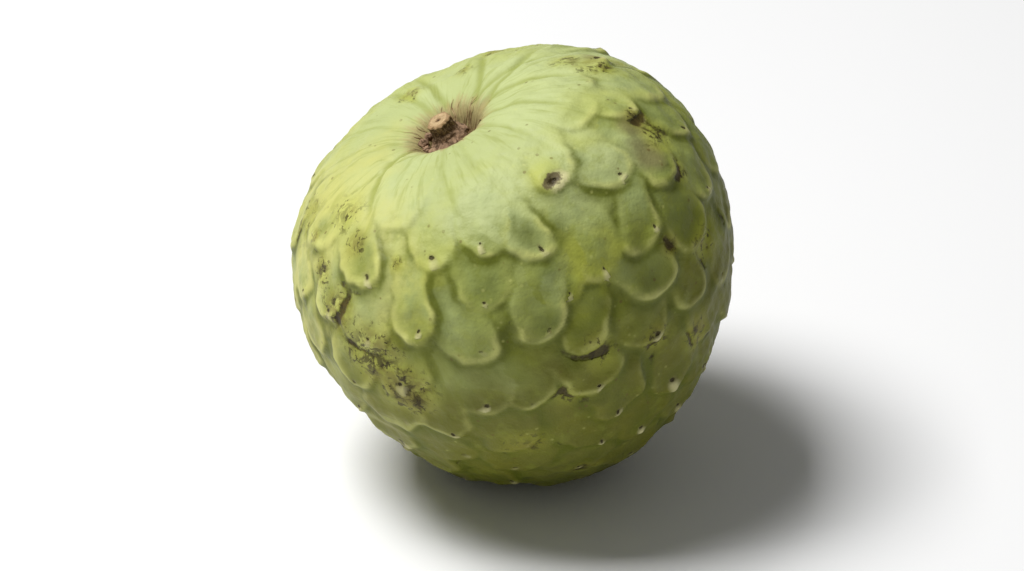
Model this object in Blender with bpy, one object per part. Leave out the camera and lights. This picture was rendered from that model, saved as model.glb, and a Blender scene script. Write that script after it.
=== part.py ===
"""A custard apple, whole, with its short stub of stem, lying on its cheek on a small flat spot.

The fruit is a fleshy heart turned round its own axis: a broad shoulder with a narrow pit for the
stem, and a cone down to a blunt apex. Its skin is laid over with scales like roof tiles, each one a
U whose round end points to the apex, and these are raised from the smooth body by a formula.
Lengths are in metres, +Z is up, and the stem leans to -X.
"""

from math import cos, pi, radians, sin

import bmesh
import bpy
import numpy as np
from mathutils import Matrix

MM = 0.001

# The fruit's outline, from the pit's floor to the apex: distance from its axis, then height along it
OUTLINE = np.array([
    (0.0, 34.0), (4.6, 34.2), (6.3, 35.7), (7.9, 37.8), (10.2, 39.4), (14.5, 40.5), (21.5, 40.6),
    (31.7, 37.7), (41.0, 30.8), (47.8, 18.5), (49.6, 5.0), (47.6, -8.3), (41.9, -20.8),
    (32.5, -33.2), (19.6, -44.8), (9.0, -50.9), (0.0, -52.8),
]) * MM
SPAN_STEPS = 24
NORMAL_STEP = 0.01

# The pit lies a little off the axis: how far, against its height, and how wide the shift fades out
PIT_SHIFT = (-0.04, 0.03, 0.0)
PIT_SPREAD = radians(38)

# How the fruit lies: its lean towards -X, the place of its middle, and the corner of its lowest cheek
LEAN = radians(23.3)
MIDDLE = (2.0 * MM, 0.155 * MM, 52.23 * MM)
CHEEK_SWELL = 6.0 * MM
CHEEK_ANGLE = radians(142)
CHEEK_SPREAD = radians(18)
FLAT_FADE = (11.0 * MM, 19.0 * MM)
LOBES = ((3, 0.45 * MM, 0.6), (5, 0.30 * MM, 2.1), (7, 0.22 * MM, 4.0))

# Where the scales' tips lie: how many, how far apart, and how they are spread from their first spiral
SCALE_COUNT = 142
SCALE_GAP = 14.2 * MM
FIRST_RING = radians(47)
FIRST_RING_LIMIT = radians(42.3)
LAST_RING = radians(170)
GOLDEN = radians(137.50776)
SPREAD_ROUNDS = 60
SPREAD_SHARE = 0.25
SEEN_TIPS = (
    (51.0, 305.6), (59.8, 322.7), (71.1, 336.6), (63.2, 290.2), (77.6, 317.7), (76.7, 303.5),
    (44.5, 339.3), (69.9, 356.4), (54.6, 348.5), (47.0, 18.0), (55.5, 259.5), (56.4, 275.5),
    (82.1, 280.5), (82.5, 265.0), (73.1, 250.0), (87.5, 239.5), (98.8, 257.5), (100.6, 272.5),
    (92.0, 291.5), (100.6, 306.0), (120.0, 291.2), (131.0, 279.0), (118.5, 258.5), (41.5, 243.0),
    (57.7, 234.5), (74.0, 232.2), (52.0, 205.0),
)

# One scale: its size and shape. A pair gives the least and the most, between which scales differ
SCALE_HALF = (5.8 * MM, 7.6 * MM)
SCALE_LENGTH = 20.0 * MM
SCALE_LIFT = (0.6 * MM, 1.45 * MM)
SCALE_POINT = (0.85, 1.3)
SCALE_HOLLOW = (0.15, 0.6)
SCALE_EDGE = (0.5 * MM, 1.3 * MM)
SCALE_TURN = radians(8)
SCALE_BEND = 14.0
SCALE_REACH = radians(50)
SCALE_FAN = (0.75, 2.2)
LIP_WIDTH = 2.8 * MM
TIP_STEP = 0.02

# How the scales waver and swell, and how they fade out on the shoulder and in the pit
WAVERS = ((0.95 * MM, 14 * MM), (0.42 * MM, 5 * MM))
SWELL_SHARE, SWELL_LENGTH = 0.42, 13 * MM
SWELL_LIMITS = (0.25, 1.5)
SHOULDER_SHARE = 0.1
SHOULDER_FADE = (radians(30), radians(60))
PIT_FADE = (radians(12), radians(20))

# The scar: a scale whose flower part stayed, now a wide cup low on a mound, in shares of its radius
SCAR = (radians(48.3), radians(305.6))
SCAR_RADIUS, SCAR_LIFT = 2.6 * MM, 1.5 * MM
MOUND_WIDTH, MOUND_SHIFT = 1.5, 0.45
CUP_WIDTH, CUP_STRETCH, CUP_SHARE = 0.65, 1.3, 0.9

# The folds that run from the pit over the shoulder: azimuth at the far end, turn at the pit, depth
SEEN_FOLDS = ((232, -38, 0.55), (251, -14, 0.20), (269, -8, 0.30), (286, -5, 0.25), (316, 6, 0.35),
              (340, 14, 0.40), (5, 30, 0.45))
HIDDEN_FOLDS, HIDDEN_FROM, HIDDEN_STEP = 8, 30, 24
HIDDEN_SWAY, HIDDEN_TURN, HIDDEN_DEPTH = 7, 30, (0.2, 0.5)
FOLD_START = (radians(10), radians(15))
FOLD_END = (radians(30), radians(50))
FOLD_WIDTH = 1.3 * MM
FOLD_SWELL, FOLD_SWELL_PLACE, FOLD_SWELL_WIDTH = 0.5, 2.2, 2.0

# The stem: its outline from the cut end to the foot in the socket, and its lean in the pit
STEM_OUTLINE = np.array([
    (0.0, 7.6), (2.6, 7.55), (2.8, 7.1), (2.7, 6.0), (2.8, 4.7), (3.5, 3.6), (4.4, 2.6),
    (4.5, 1.6), (3.3, 0.8), (2.7, -0.4), (2.6, -5.0), (0.0, -5.0),
]) * MM
STEM_FOOT = 34.4 * MM
STEM_LEAN = (radians(-6.0), radians(4.0))
STEM_SIDES, STEM_RINGS = 18, 24

# The stem's bark: ridges on its barrel, and knobs on the collar round its foot
BARK_RIDGE = 0.2 * MM
RIDGE_COUNT, RIDGE_TWIST = 5, 180
KNOB_LIFT, KNOB_LENGTH = 0.35 * MM, 3.2 * MM
BARK_HEIGHT = (0.8 * MM, 1.6 * MM)
BARK_RADIUS = (1.5 * MM, 2.2 * MM)
COLLAR_HEIGHT = (3.3 * MM, 4.4 * MM)

# What cuts the fruit: the socket for the stem's foot, and the table that it is pressed flat on
SOCKET_RADIUS = 3.0 * MM
SOCKET_DEPTH = 5.3 * MM
SOCKET_SIDES = 20
TABLE_BLOCK = 200 * MM

# The mesh: sides and rings before it is thinned, and the share of its triangles that is kept
SIDES, RINGS = 288, 190
KEPT = 0.1
SEED = 11

# The finishes: colour and roughness
SKIN_COLOUR, SKIN_ROUGHNESS = (0.42, 0.50, 0.18), 0.5
BARK_COLOUR, BARK_ROUGHNESS = (0.25, 0.16, 0.09), 0.85


def outline_curve(points):
    """A smooth curve through the outline: cubic pieces, with the points mirrored at both ends."""
    mirrored = np.vstack([points[1] * (-1, 1), points, points[-2] * (-1, 1)])
    step = np.linspace(0, 1, SPAN_STEPS, endpoint=False)[:, None]
    spans = [
        0.5 * (2 * b + (c - a) * step + (2 * a - 5 * b + 4 * c - d) * step**2
               + (3 * b - a - 3 * c + d) * step**3)
        for a, b, c, d in zip(mirrored[:-3], mirrored[1:-2], mirrored[2:-1], mirrored[3:])
    ]
    return np.vstack(spans + [points[-1:]])


def along(curve):
    """How far each point of a curve is along it, from 0 at its start to 1 at its end."""
    steps = np.hypot(*np.diff(curve, axis=0).T)
    return np.concatenate([[0], np.cumsum(steps)]) / steps.sum()


def ease(low, high, value):
    """0 below low, 1 above high, and a smooth rise between them."""
    part = np.clip((value - low) / (high - low), 0, 1)
    return part * part * (3 - 2 * part)


def bell(distance, width):
    """1 at no distance, falling away to both sides as a bell curve of this width."""
    return np.exp(-((distance / width) ** 2))


def unit(vectors):
    """The same vectors, one long."""
    return vectors / np.linalg.norm(vectors, axis=-1, keepdims=True)


def direction(polar, azimuth):
    """The unit vector at a polar angle from the stem end and an azimuth round the axis."""
    return np.stack([np.sin(polar) * np.cos(azimuth), np.sin(polar) * np.sin(azimuth),
                     np.cos(polar) + 0 * azimuth], axis=-1)


FRUIT_CURVE = outline_curve(OUTLINE)
CURVE_ANGLE = np.arctan2(FRUIT_CURVE[:, 0], FRUIT_CURVE[:, 1])
CURVE_REACH = np.hypot(*FRUIT_CURVE.T)


def waves(points, amplitude, length, seed, count=7):
    """A smooth seeded wobble in three parts: sums of sines whose waves run in random directions."""
    rng = np.random.default_rng(seed)
    total = np.zeros_like(points)
    for _ in range(count):
        run = unit(rng.normal(size=3)) * (2 * pi / length) * rng.uniform(0.7, 1.4)
        total += np.sin(points @ run + rng.uniform(0, 2 * pi))[:, None] * unit(rng.normal(size=3))
    return amplitude * total / np.sqrt(count / 2)


def polar_of(towards):
    """The angle of each direction from the middle of the pit, which lies a little off the axis.

    The shift fades out away from the pit, so the rest of the fruit is measured from its axis.
    """
    polar = np.arccos(np.clip(towards[:, 2], -1, 1))
    moved = unit(towards - np.array(PIT_SHIFT) * bell(polar, PIT_SPREAD)[:, None])
    return np.arccos(np.clip(moved[:, 2], -1, 1))


def azimuth_of(towards):
    """The angle of each direction round the axis."""
    return np.arctan2(towards[:, 1], towards[:, 0])


def smooth_body(towards):
    """The body without its scales: how far it reaches from its middle in each direction.

    The turned outline gives the reach at each polar angle. A cheek swells on the side that it lies
    on, and three slow lobes run round the girth.
    """
    polar = polar_of(towards)
    reach = np.interp(polar, CURVE_ANGLE, CURVE_REACH)
    cheek = direction(CHEEK_ANGLE, np.array(pi))
    away = np.arccos(np.clip(towards @ cheek, -1, 1))
    reach = reach + CHEEK_SWELL * bell(away, np.sqrt(2) * CHEEK_SPREAD)
    for count, height, turn in LOBES:
        reach = reach + height * np.sin(polar) ** 2 * np.cos(count * azimuth_of(towards) + turn)
    return towards * reach[:, None]


def outward(towards):
    """The smooth body's outward normal in each direction, from two short steps across it."""
    aside = np.where(np.abs(towards[:, 2:]) > 0.9, (1.0, 0.0, 0.0), (0.0, 0.0, 1.0))
    first = unit(np.cross(towards, aside))
    steps = [
        smooth_body(unit(towards + NORMAL_STEP * way)) - smooth_body(unit(towards - NORMAL_STEP * way))
        for way in (first, np.cross(towards, first))
    ]
    return unit(np.cross(*steps))


def fold_height(points, towards):
    """The folds over the shoulder: each is a groove along a meridian that turns near the pit.

    Across it, a narrow dip has a wider and lower swell on its far side, as where skin is drawn in.
    """
    rng = np.random.default_rng(SEED + 2)
    folds = list(SEEN_FOLDS)
    for place_in_row in range(HIDDEN_FOLDS):
        azimuth = HIDDEN_FROM + HIDDEN_STEP * place_in_row + rng.uniform(-HIDDEN_SWAY, HIDDEN_SWAY)
        folds.append((azimuth, rng.uniform(-HIDDEN_TURN, HIDDEN_TURN), rng.uniform(*HIDDEN_DEPTH)))
    polar = polar_of(towards)
    girth = np.hypot(points[:, 0], points[:, 1])
    out = ease(FOLD_START[0], FOLD_END[1], polar)
    height = np.zeros(len(points))
    for far, turn, depth in folds:
        away = azimuth_of(towards) - radians(far + turn) + radians(turn) * np.sqrt(out)
        across = (np.mod(away + pi, 2 * pi) - pi) * girth / FOLD_WIDTH
        swell = FOLD_SWELL * bell(across - FOLD_SWELL_PLACE, FOLD_SWELL_WIDTH)
        height += depth * MM * (swell - bell(across, 1))
    return height * ease(*FOLD_START, polar) * (1 - ease(*FOLD_END, polar))


def scar_place(points):
    """Where each point lies from the scar's cup: round the fruit, down it and out of it."""
    polar, azimuth = SCAR[0], np.array(SCAR[1])
    out = direction(polar, azimuth)
    down = direction(polar + pi / 2, azimuth)
    centre = smooth_body(out[None])[0]
    return (points - centre) @ np.column_stack([np.cross(out, down), down, out]) / SCAR_RADIUS


def scar_height(points):
    """The scar: a mound with a cup low in it, which is wider round the fruit than down it."""
    place = scar_place(points)
    mound = bell(np.linalg.norm(place + (0, MOUND_SHIFT, 0), axis=1), MOUND_WIDTH)
    cup = bell(np.linalg.norm(place * (1 / CUP_STRETCH, CUP_STRETCH, 1), axis=1), CUP_WIDTH)
    return SCAR_LIFT * (mound - CUP_SHARE * cup)


def scale_tips():
    """The direction of each scale's tip.

    The tips start on a golden-angle spiral that gives each the same area, as scales grow. The tip
    nearest to each one seen from the front moves onto it. Then the others push apart evenly.
    """
    height = np.linspace(cos(FIRST_RING), cos(LAST_RING), SCALE_COUNT)
    tips = direction(np.arccos(height), GOLDEN * np.arange(SCALE_COUNT))
    held = np.zeros(SCALE_COUNT, bool)
    for polar, azimuth in SEEN_TIPS:
        seen = direction(radians(polar), np.array(radians(azimuth)))
        nearest = np.argmax(np.where(held, -1, tips @ seen))
        tips[nearest], held[nearest] = seen, True
    for _ in range(SPREAD_ROUNDS):
        points = smooth_body(tips)
        apart = points[:, None] - points[None]
        gap = np.linalg.norm(apart, axis=-1) + np.eye(SCALE_COUNT)
        push = np.clip(SCALE_GAP - gap, 0, None) * (1 - np.eye(SCALE_COUNT))
        move = (apart / gap[..., None] * push[..., None]).sum(1) * SPREAD_SHARE
        tips = np.where(held[:, None], tips, unit(points + move))
        low = np.minimum(tips[:, 2], cos(FIRST_RING_LIMIT))
        tips = unit(np.column_stack([tips[:, :2], low]))
    return tips


def scale_height(points, towards):
    """The height of the scales over the smooth body.

    Each scale is a U: a half circle at its tip with bent sides up towards the stem. Its height
    grows along it like a roof tile's, and across it has an edge, a lip inside the edge and a hollow
    inside the lip. Where scales overlap, the highest one shows. Scales differ in all of these.
    """
    rng = np.random.default_rng(SEED)
    tips = scale_tips()
    centres = smooth_body(tips)
    south = unit(smooth_body(unit(tips - np.array((0, 0, TIP_STEP)))) - centres)
    east = unit(np.cross(south, tips))
    turn = rng.normal(0, SCALE_TURN, SCALE_COUNT)[:, None]
    south, east = (south * np.cos(turn) + east * np.sin(turn),
                   east * np.cos(turn) - south * np.sin(turn))
    halves, lifts, ends, softs, hollows = (
        rng.uniform(*limits, SCALE_COUNT)
        for limits in (SCALE_HALF, SCALE_LIFT, SCALE_POINT, SCALE_EDGE, SCALE_HOLLOW)
    )
    bends = rng.normal(0, SCALE_BEND, SCALE_COUNT)
    moved = points + sum(waves(points, *waver, SEED + 3 * number)
                         for number, waver in enumerate(WAVERS))
    girth = np.hypot(points[:, 0], points[:, 1]) + NORMAL_STEP * MM
    height = np.zeros(len(points))
    for number, tip in enumerate(tips):
        near = towards @ tip > cos(SCALE_REACH)
        offset = moved[near] - centres[number]
        along_it = offset @ south[number]
        fan = np.clip(np.hypot(*centres[number, :2]) / girth[near], *SCALE_FAN)
        over_it = offset @ east[number] + bends[number] * along_it**2
        over_it = over_it * np.where(along_it < 0, fan, 1)
        past = np.maximum(along_it / ends[number] + halves[number], 0)
        inside = halves[number] - np.hypot(over_it, past)
        rise = lifts[number] * np.clip(1 + along_it / SCALE_LENGTH, 0, 1)
        hollow = hollows[number] * (1 - bell(np.maximum(inside, 0), LIP_WIDTH))
        tile = ease(-softs[number], softs[number], inside) * rise * (1 - hollow)
        height[near] = np.maximum(height[near], tile)
    swell = np.clip(1 + waves(points, SWELL_SHARE, SWELL_LENGTH, SEED + 8)[:, 0], *SWELL_LIMITS)
    polar = polar_of(towards)
    shoulder = SHOULDER_SHARE + (1 - SHOULDER_SHARE) * ease(*SHOULDER_FADE, polar)
    return height * swell * shoulder * ease(*PIT_FADE, polar)


def flat_calm(points):
    """0 where the fruit lies on the table and 1 away from there, so that the flat spot is whole."""
    across = points[:, 0] * cos(LEAN) - points[:, 2] * sin(LEAN)
    up = points[:, 0] * sin(LEAN) + points[:, 2] * cos(LEAN)
    lowest = up.argmin()
    away = np.hypot(across - across[lowest], points[:, 1] - points[lowest, 1])
    return np.maximum(ease(*FLAT_FADE, away), up > 0)


def collection(name):
    """A new collection in the scene."""
    made = bpy.data.collections.new(name)
    bpy.context.scene.collection.children.link(made)
    return made


def material(name, colour, roughness):
    """A Principled BSDF with the piece's colour."""
    made = bpy.data.materials.new(name)
    made.use_nodes = True
    shader = made.node_tree.nodes["Principled BSDF"]
    shader.inputs["Base Color"].default_value = (*colour, 1)
    shader.inputs["Roughness"].default_value = roughness
    shader.inputs["Metallic"].default_value = 0
    made.diffuse_color = (*colour, 1)
    return made


def lowest_first(corners):
    """A face's corners, turned round to start at the lowest number."""
    start = corners.index(min(corners))
    return corners[start:] + corners[:start]


def sphere_mesh(name, sides, rings):
    """A unit sphere's mesh, with the polar share (0 at its top, 1 below) and azimuth of each vertex.

    Its faces are listed in order, because the primitive lists them another way each time it is made.
    """
    shape = bmesh.new()
    bmesh.ops.create_uvsphere(shape, u_segments=sides, v_segments=rings, radius=1)
    faces = sorted(lowest_first([corner.index for corner in face.verts]) for face in shape.faces)
    mesh = bpy.data.meshes.new(name)
    mesh.from_pydata([corner.co for corner in shape.verts], [], faces)
    shape.free()
    at = np.empty(len(mesh.vertices) * 3)
    mesh.vertices.foreach_get("co", at)
    at = at.reshape(-1, 3)
    share = np.arccos(np.clip(at[:, 2], -1, 1)) / pi
    return mesh, share, azimuth_of(at)


def place(mesh, points):
    """Moves the mesh's vertices to these points."""
    mesh.vertices.foreach_set("co", points.ravel())
    mesh.update()


def add(mesh, group, paint=None):
    """An object for the mesh in a collection, shaded smooth."""
    made = bpy.data.objects.new(mesh.name, mesh)
    group.objects.link(made)
    if paint:
        mesh.materials.append(paint)
    mesh.shade_smooth()
    return made


def cutter(name, shape, group):
    """A hidden object that only cuts."""
    mesh = bpy.data.meshes.new(name)
    shape.to_mesh(mesh)
    shape.free()
    made = add(mesh, group)
    made.hide_render = True
    made.display_type = "WIRE"
    return made


def cut(target, tool):
    """A Boolean that takes the tool's shape out of the target."""
    modifier = target.modifiers.new("cut by " + tool.name, "BOOLEAN")
    modifier.operation = "DIFFERENCE"
    modifier.solver = "EXACT"
    modifier.object = tool


def make_fruit(group):
    """The fruit: a sphere moved onto its outline, raised into scales, and thinned."""
    mesh, share, azimuth = sphere_mesh("fruit", SIDES, RINGS)
    towards = direction(np.interp(share, along(FRUIT_CURVE), CURVE_ANGLE), azimuth)
    body = smooth_body(towards)
    relief = scale_height(body, towards) * flat_calm(body)
    relief += fold_height(body, towards) + scar_height(body)
    place(mesh, body + outward(towards) * relief[:, None])
    fruit = add(mesh, group, material("green skin", SKIN_COLOUR, SKIN_ROUGHNESS))
    thin = fruit.modifiers.new("thinned", "DECIMATE")
    thin.ratio = KEPT
    thin.use_collapse_triangulate = True
    return fruit


def make_cutters(group):
    """The socket round the stem's foot, and the table as a block that ends at the fruit's rest."""
    shape = bmesh.new()
    bmesh.ops.create_cone(shape, cap_ends=True, segments=SOCKET_SIDES, radius1=SOCKET_RADIUS,
                          radius2=SOCKET_RADIUS, depth=2 * SOCKET_DEPTH)
    socket = cutter("socket", shape, group)
    shape = bmesh.new()
    bmesh.ops.create_cube(shape, size=TABLE_BLOCK,
                          matrix=Matrix.Translation((0, 0, -TABLE_BLOCK / 2)))
    return socket, cutter("table", shape, group)


def make_stem(group):
    """The stem's stub: a sphere moved onto its outline, with bark ridges and a knobbly collar."""
    mesh, share, azimuth = sphere_mesh("stem", STEM_SIDES, STEM_RINGS)
    where = along(STEM_OUTLINE)
    radius = np.interp(share, where, STEM_OUTLINE[:, 0])
    height = np.interp(share, where, STEM_OUTLINE[:, 1])
    body = np.column_stack([radius * np.cos(azimuth), radius * np.sin(azimuth), height])
    bark = ease(*BARK_HEIGHT, height) * ease(*BARK_RADIUS, radius)
    collar = bark * (1 - ease(*COLLAR_HEIGHT, height))
    knobs = waves(body, KNOB_LIFT, KNOB_LENGTH, SEED + 1)[:, 0]
    ridge = BARK_RIDGE * np.cos(RIDGE_COUNT * azimuth + RIDGE_TWIST * height)
    swell = 1 + (collar * knobs + bark * ridge) / np.maximum(radius, MM)
    place(mesh, body * np.column_stack([swell, swell, np.ones_like(swell)]))
    return add(mesh, group, material("stem bark", BARK_COLOUR, BARK_ROUGHNESS))


def build():
    """The whole object: the fruit and its stem on one parent that leans."""
    for old in list(bpy.data.objects):
        bpy.data.objects.remove(old)
    group = collection("custard_apple")
    parent = bpy.data.objects.new("lie", None)
    group.objects.link(parent)
    parent.location = MIDDLE
    parent.rotation_euler = (0, -LEAN, 0)
    fruit = make_fruit(group)
    stem = make_stem(group)
    socket, table = make_cutters(collection("cutters"))
    for piece in (fruit, socket, stem):
        piece.parent = parent
    for piece in (socket, stem):
        piece.location = np.array(PIT_SHIFT) * STEM_FOOT + np.array((0, 0, STEM_FOOT))
        piece.rotation_euler = (STEM_LEAN[1], STEM_LEAN[0], 0)
    cut(fruit, socket)
    cut(fruit, table)
    bpy.context.view_layer.update()


build()
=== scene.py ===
# %% [markdown]
# # A custard apple on a pale table
#
# This lesson dresses a imported model of one custard apple, a green fruit the size of a fist whose skin
# is laid over with scales. The imported solids give the fruit's place, size and rest, and they are never
# moved. The lesson puts a finer skin over the fruit's solid and finer bark over the stem's, and then
# adds a table, soft lights and a camera.
#
# The first cell loads the solids as a fixed frame. Every length below is in metres, so MM turns a
# length in millimetres into metres.

# %% Load the fixed frame
from math import cos, pi, radians, sin

import bpy
import numpy as np
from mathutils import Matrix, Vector


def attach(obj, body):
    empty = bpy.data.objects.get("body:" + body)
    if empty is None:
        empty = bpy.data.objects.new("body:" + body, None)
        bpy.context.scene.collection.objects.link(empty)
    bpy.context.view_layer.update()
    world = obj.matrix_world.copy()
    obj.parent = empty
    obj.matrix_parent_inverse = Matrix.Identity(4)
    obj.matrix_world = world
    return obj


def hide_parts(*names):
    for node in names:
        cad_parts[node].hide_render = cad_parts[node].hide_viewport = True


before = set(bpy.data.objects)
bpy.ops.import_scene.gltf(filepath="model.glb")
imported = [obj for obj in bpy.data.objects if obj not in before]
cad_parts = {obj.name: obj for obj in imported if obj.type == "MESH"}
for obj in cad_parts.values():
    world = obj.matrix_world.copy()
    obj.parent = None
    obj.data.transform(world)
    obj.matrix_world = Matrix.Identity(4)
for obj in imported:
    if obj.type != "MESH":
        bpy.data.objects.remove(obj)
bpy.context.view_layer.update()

MM = 0.001

# %% [markdown]
# ## Small tools for shapes
#
# A natural surface is best worked out as whole arrays: one row of numbers for each point, and one
# formula for all of them. Five helpers do most of that work here. `ease` is a soft step, `bell` a
# soft hump, `unit` makes vectors one long, `direction` turns two angles into a vector, and `waves` is
# a seeded wobble made of a few sines, which gives the same bumps on every run. Blender's own noise
# could move the points too, but a sum of sines runs on a hundred thousand points at once.

# %% Helpers for arrays of points
def ease(low, high, value):
    """0 below low, 1 above high, and 3 t squared less 2 t cubed between them."""
    part = np.clip((value - low) / (high - low), 0, 1)
    return part * part * (3 - 2 * part)


def bell(distance, width):
    """1 at no distance, falling away to both sides as a bell curve of that width."""
    return np.exp(-((distance / width) ** 2))


def unit(vectors):
    """Each vector divided by its length."""
    return vectors / np.linalg.norm(vectors, axis=-1, keepdims=True)


def direction(polar, azimuth):
    """The unit vector at an angle from the fruit's axis and an angle round it."""
    return np.stack([np.sin(polar) * np.cos(azimuth), np.sin(polar) * np.sin(azimuth),
                     np.cos(polar) + 0 * azimuth], axis=-1)


def waves(points, amplitude, length, seed, count=7):
    """A wobble in three parts: sines of each point's distance along a few random directions."""
    rng = np.random.default_rng(seed)
    total = np.zeros_like(points)
    for _ in range(count):
        run = unit(rng.normal(size=3)) * (2 * pi / length) * rng.uniform(0.7, 1.4)
        total += np.sin(points @ run + rng.uniform(0, 2 * pi))[:, None] * unit(rng.normal(size=3))
    return amplitude * total / np.sqrt(count / 2)


# %% [markdown]
# ## Small tools for meshes and places
#
# The fruit leans on its cheek, so all its points are worked out upright, with the axis along Z, and
# then turned and lifted into place by `lie`. Each closed shape here has a point at each end and rings
# of points between, so one function joins up the faces of all of them, and of many small shapes at
# once. `foreach_set` hands a whole array to Blender, which is far quicker than points in a loop.

# %% Helpers that build and place meshes
LEAN = radians(23.3)
MIDDLE = np.array([2.0, 0.155, 52.23]) * MM


def lie(points):
    """Upright points turned by the fruit's lean towards -X and lifted to where the fruit lies."""
    x, y, z = np.moveaxis(points, -1, 0)
    return np.stack([x * cos(LEAN) - z * sin(LEAN), y, x * sin(LEAN) + z * cos(LEAN)], -1) + MIDDLE


def ring_faces(rings, sides):
    """The faces of a closed shape: a fan at each end and quads between neighbouring rings.

    Point 0 is the first end, then come the rings one after another, and the last point is the other
    end. Each quad joins a point, the one below it, and their neighbours to the side.
    """
    around = np.arange(sides)
    beside = (around + 1) % sides
    low = 1 + sides * (rings - 1)
    top = np.column_stack([0 * around, 1 + around, 1 + beside])
    bottom = np.column_stack([low + around, low + sides + 0 * around, low + beside])
    starts = 1 + sides * np.arange(rings - 1)[:, None]
    quads = np.stack([starts + around, starts + sides + around, starts + sides + beside,
                      starts + beside], axis=-1).reshape(-1, 4)
    return np.vstack([top, bottom]), quads


def closed_mesh(name, shapes, rings, sides):
    """A mesh of closed shapes made of rings, from an array of shapes, their points and three parts."""
    first = shapes.shape[1] * np.arange(len(shapes))[:, None, None]
    fans, quads = (first + faces for faces in ring_faces(rings, sides))
    corners = np.concatenate([fans.ravel(), quads.ravel()])
    sizes = np.repeat([3, 4], [fans.size // 3, quads.size // 4])
    mesh = bpy.data.meshes.new(name)
    mesh.vertices.add(shapes.size // 3)
    mesh.vertices.foreach_set("co", shapes.ravel())
    mesh.loops.add(len(corners))
    mesh.loops.foreach_set("vertex_index", corners)
    mesh.polygons.add(len(sizes))
    mesh.polygons.foreach_set("loop_start", np.cumsum(sizes) - sizes)
    mesh.update(calc_edges=True)
    mesh.shade_smooth()
    return mesh


def store(mesh, name, values):
    """Keeps a number or a vector for every point of a mesh, for its material to read."""
    kind, key = ("FLOAT_VECTOR", "vector") if values.ndim == 2 else ("FLOAT", "value")
    layer = mesh.attributes.new(name, kind, "POINT")
    layer.data.foreach_set(key, np.ascontiguousarray(values, np.float32).ravel())


def add_piece(mesh, slot, finish, *nodes):
    """A new piece on the fruit: it moves with the model's one body and takes the finish given; the slot
    is not used.
    """
    piece = bpy.data.objects.new(mesh.name, mesh)
    bpy.context.scene.collection.objects.link(piece)
    mesh.materials.append(finish)
    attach(piece, "root")
    if nodes:
        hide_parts(*nodes)
    triangles = sum(len(face.vertices) - 2 for face in mesh.polygons)
    print(piece.name, "has", triangles, "triangles")


# %% [markdown]
# ## The fruit's smooth body
#
# Under its scales a custard apple is a heart turned round its own axis: a broad shoulder, a narrow
# pit that the stem grows from, and a cone down to a blunt apex. A turned shape needs only its outline.
# The points below are distances from the axis and heights along it, the same ones that the solid was
# made from, and a smooth curve runs through them. Every ray from the middle of the fruit meets its
# surface once, so the outline can be read as a reach for each angle, and whatever changes the body,
# such as the cheek that it lies on, is added to that reach.

# %% The outline and the body that it gives
OUTLINE = np.array([
    (0.0, 34.0), (4.6, 34.2), (6.3, 35.7), (7.9, 37.8), (10.2, 39.4), (14.5, 40.5), (21.5, 40.6),
    (31.7, 37.7), (41.0, 30.8), (47.8, 18.5), (49.6, 5.0), (47.6, -8.3), (41.9, -20.8),
    (32.5, -33.2), (19.6, -44.8), (9.0, -50.9), (0.0, -52.8),
]) * MM
SPAN_STEPS = 24
NORMAL_STEP = 0.01
PIT_SHIFT = (-0.04, 0.03, 0.0)
PIT_SPREAD = radians(38)
CHEEK_SWELL = 6.0 * MM
CHEEK_ANGLE = radians(142)
CHEEK_SPREAD = radians(18)
LOBES = ((3, 0.45 * MM, 0.6), (5, 0.30 * MM, 2.1), (7, 0.22 * MM, 4.0))


def outline_curve(points):
    """A smooth curve through points: between each two, a cubic that also leans on their neighbours."""
    mirrored = np.vstack([points[1] * (-1, 1), points, points[-2] * (-1, 1)])
    step = np.linspace(0, 1, SPAN_STEPS, endpoint=False)[:, None]
    spans = [
        0.5 * (2 * b + (c - a) * step + (2 * a - 5 * b + 4 * c - d) * step**2
               + (3 * b - a - 3 * c + d) * step**3)
        for a, b, c, d in zip(mirrored[:-3], mirrored[1:-2], mirrored[2:-1], mirrored[3:])
    ]
    return np.vstack(spans + [points[-1:]])


def along(curve):
    """How far each point of a curve is along it: the summed steps, divided by their total."""
    steps = np.hypot(*np.diff(curve, axis=0).T)
    return np.concatenate([[0], np.cumsum(steps)]) / steps.sum()


FRUIT_CURVE = outline_curve(OUTLINE)
CURVE_ANGLE = np.arctan2(FRUIT_CURVE[:, 0], FRUIT_CURVE[:, 1])
CURVE_REACH = np.hypot(*FRUIT_CURVE.T)


def polar_of(towards):
    """The angle of each direction from the middle of the pit, which lies a little off the axis.

    A small vector, faded by a bell curve, is taken from each direction before its angle is read.
    """
    polar = np.arccos(np.clip(towards[:, 2], -1, 1))
    moved = unit(towards - np.array(PIT_SHIFT) * bell(polar, PIT_SPREAD)[:, None])
    return np.arccos(np.clip(moved[:, 2], -1, 1))


def azimuth_of(towards):
    """The angle of each direction round the axis."""
    return np.arctan2(towards[:, 1], towards[:, 0])


def smooth_body(towards):
    """The body's point in each direction: the direction times the reach of the turned outline.

    A bell-shaped swell adds the cheek, and three cosines round the axis add slow lobes.
    """
    polar = polar_of(towards)
    reach = np.interp(polar, CURVE_ANGLE, CURVE_REACH)
    cheek = direction(CHEEK_ANGLE, np.array(pi))
    away = np.arccos(np.clip(towards @ cheek, -1, 1))
    reach = reach + CHEEK_SWELL * bell(away, np.sqrt(2) * CHEEK_SPREAD)
    for count, height, turn in LOBES:
        reach = reach + height * np.sin(polar) ** 2 * np.cos(count * azimuth_of(towards) + turn)
    return towards * reach[:, None]


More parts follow.
